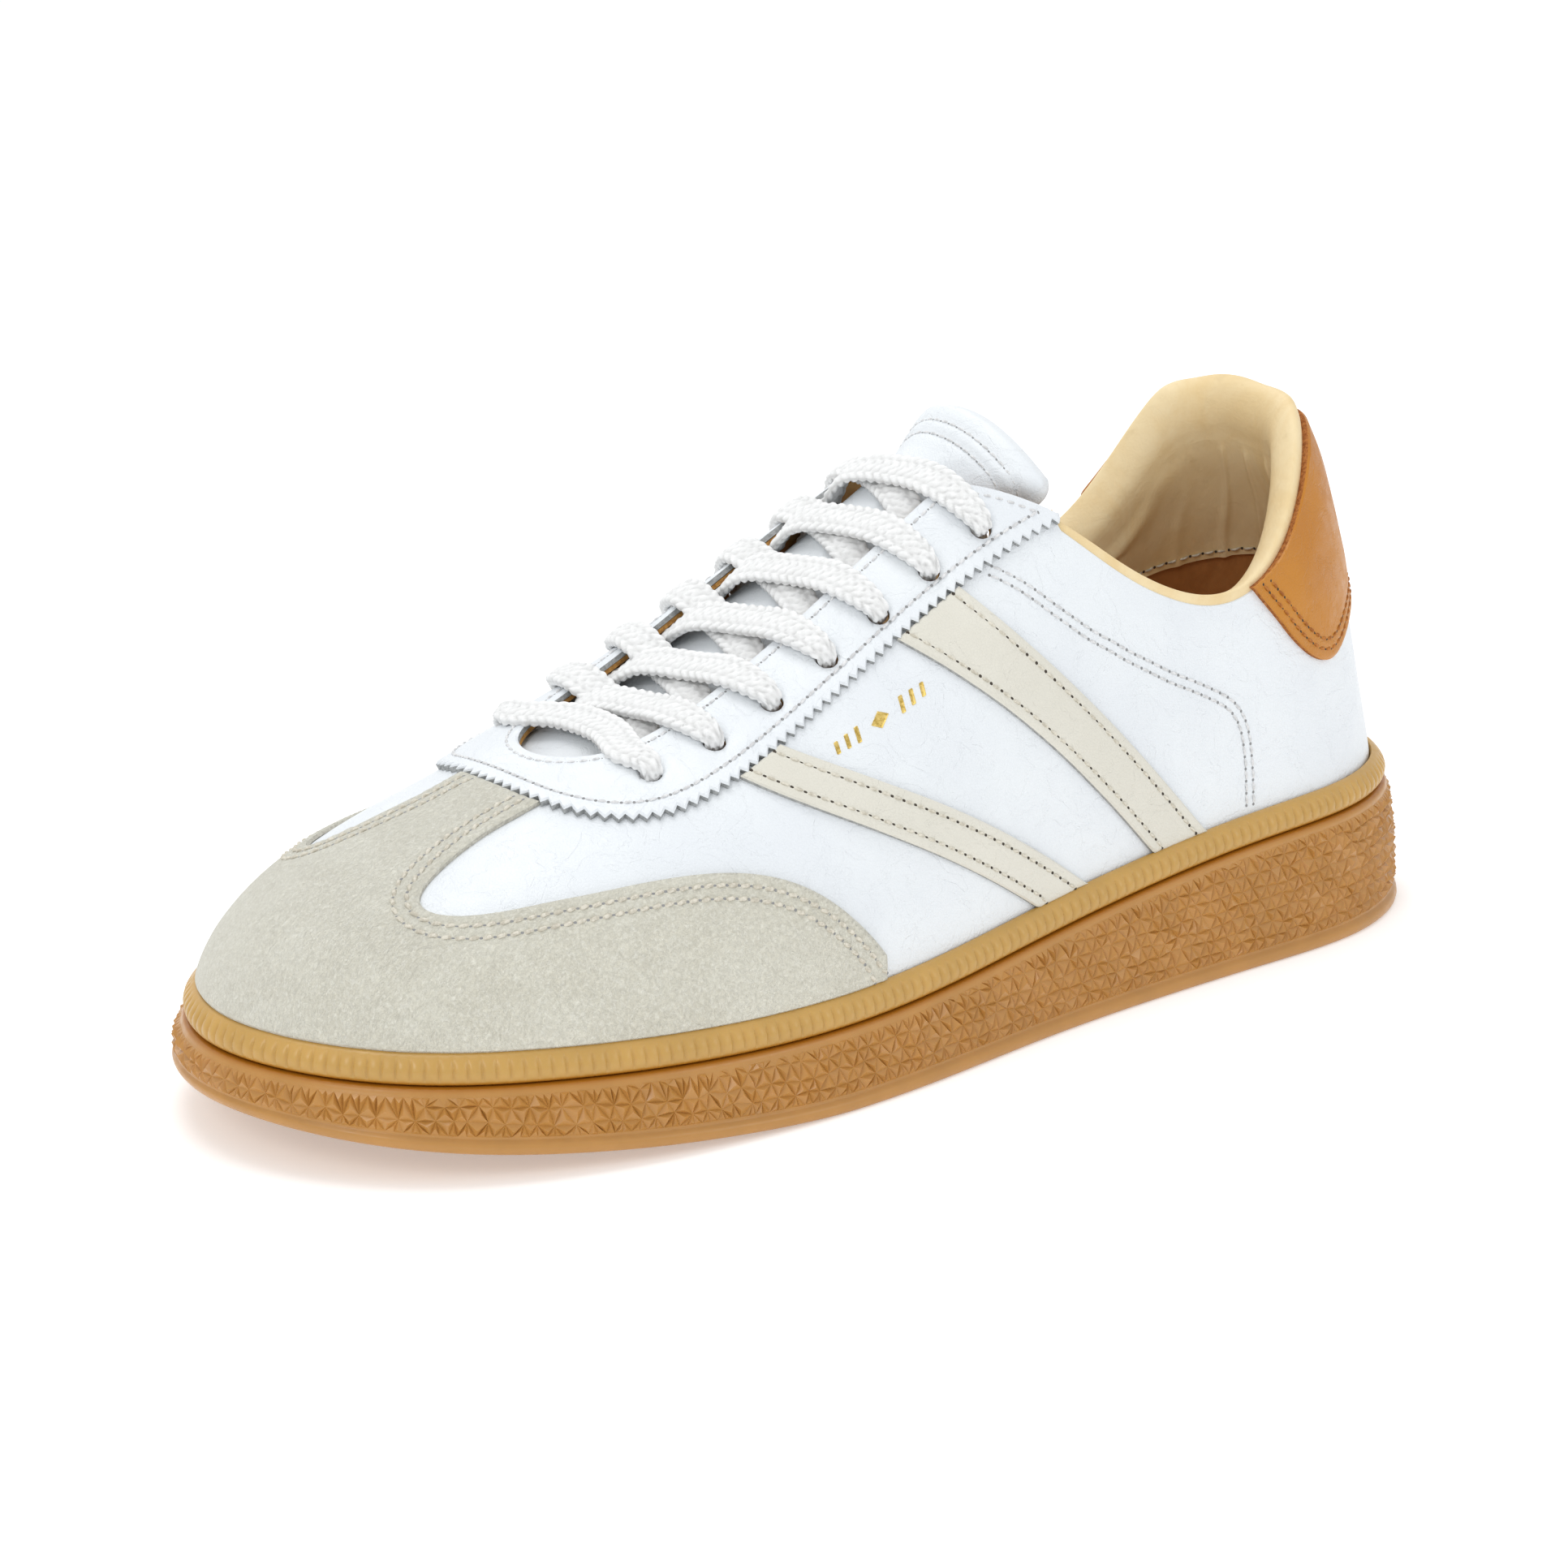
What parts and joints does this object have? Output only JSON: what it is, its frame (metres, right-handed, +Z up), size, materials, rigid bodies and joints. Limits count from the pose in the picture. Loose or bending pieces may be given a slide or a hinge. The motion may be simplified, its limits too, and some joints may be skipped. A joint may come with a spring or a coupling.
{
  "type": "court shoe",
  "caption": "Low lace-up leather court shoe with a ribbed rubber cupsole, a T-shaped suede toe cap, curved side bands, a contrasting heel tab, a padded collar and tongue, and flat laces.",
  "frame": {"origin": "middle of the bounding box, on the ground under the sole", "axes": "+X runs from the heel to the toe, +Y to the outer (lateral) side of this left shoe, +Z up"},
  "size_m": [0.3038, 0.1127, 0.1166],
  "materials": {
    "gum_rubber": "satin, dense textured gum",
    "insert_foam": "matt foam",
    "board": "matt fibre board",
    "white_leather": "smooth, low sheen",
    "cream_leather": "smooth, low sheen",
    "greige_suede": "suede nap",
    "cognac_leather": "smooth, low sheen",
    "tan_lining": "soft, matt",
    "brown_cover": "soft, matt",
    "beige_collar": "soft, low sheen",
    "stiffener": "matt",
    "padding_foam": "open foam",
    "white_lace": "flat braided cotton",
    "clear_tip": "glossy film"
  },
  "bodies": {
    "shoe": {"cupsole": "gum_rubber", "ribbed_rand": "gum_rubber", "midsole_insert": "insert_foam", "lasting_board": "board", "footbed_foam": "insert_foam", "footbed_cover": "brown_cover", "vamp": "white_leather", "vamp_lining": "tan_lining", "toe_puff": "stiffener", "toe_cap": "greige_suede", "quarter_lateral": "white_leather", "quarter_medial": "white_leather", "eyestay": "white_leather", "facing_lining": "tan_lining", "heel_counter": "stiffener", "collar_foam": "padding_foam", "collar_lining": "beige_collar", "heel_tab": "cognac_leather", "band_front_lateral": "cream_leather", "band_front_medial": "cream_leather", "band_rear_lateral": "cream_leather", "band_rear_medial": "cream_leather", "lace": "white_lace", "lace_tip_medial": "clear_tip", "lace_tip_lateral": "clear_tip"},
    "tongue": {"tongue_outer": "white_leather", "tongue_foam": "padding_foam", "tongue_lining": "tan_lining"}
  },
  "joints": [
    {"name": "tongue_hinge", "type": "hinge", "parent": "shoe", "child": "tongue", "pos_m": [0.0765, -0.005, 0.052], "axis": [0, -1, 0], "range_deg": [0, 16], "stiffness_Nm_per_rad": 0.05}
  ]
}
